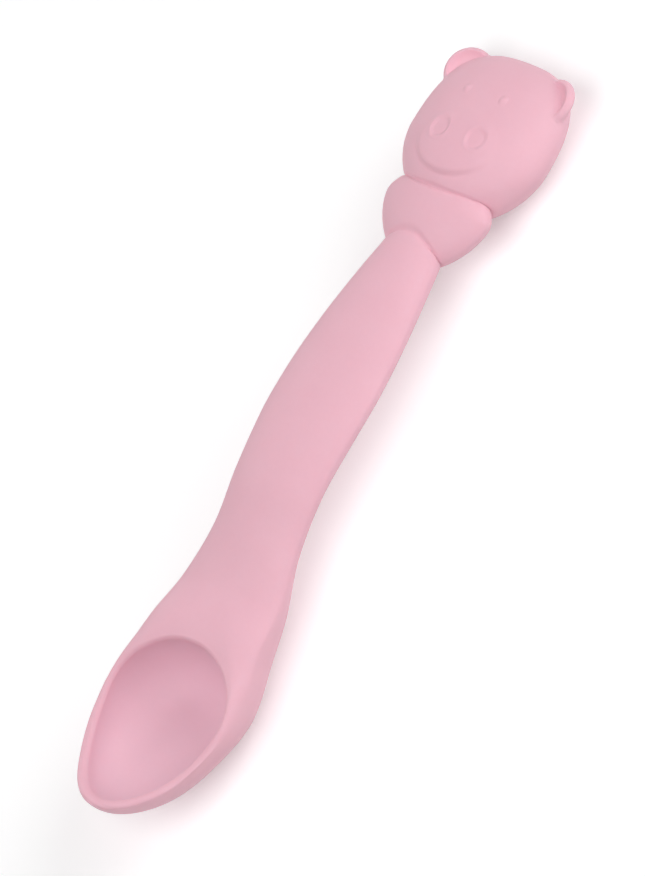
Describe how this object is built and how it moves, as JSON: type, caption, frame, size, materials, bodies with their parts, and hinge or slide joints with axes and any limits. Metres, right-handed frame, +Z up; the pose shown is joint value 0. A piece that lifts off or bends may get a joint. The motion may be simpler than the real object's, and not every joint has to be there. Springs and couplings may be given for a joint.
{
  "type": "baby spoon",
  "caption": "Soft pink feeding spoon for a baby: deep oval bowl, arched oval handle and a rounded piglet head at the end, moulded over a stiff core.",
  "frame": {"origin": "on the table under the middle of the spoon's length and width", "axes": "+Y along the spoon from the tip of the bowl to the head, +X across it, +Z up out of the bowl"},
  "size_m": [0.0296, 0.155, 0.0191],
  "materials": {
    "silicone": "matt moulded silicone, pale pink",
    "nylon": "plain moulded nylon, natural white"
  },
  "bodies": {
    "root": {"silicone_body": "silicone", "nylon_core": "nylon"}
  },
  "joints": []
}
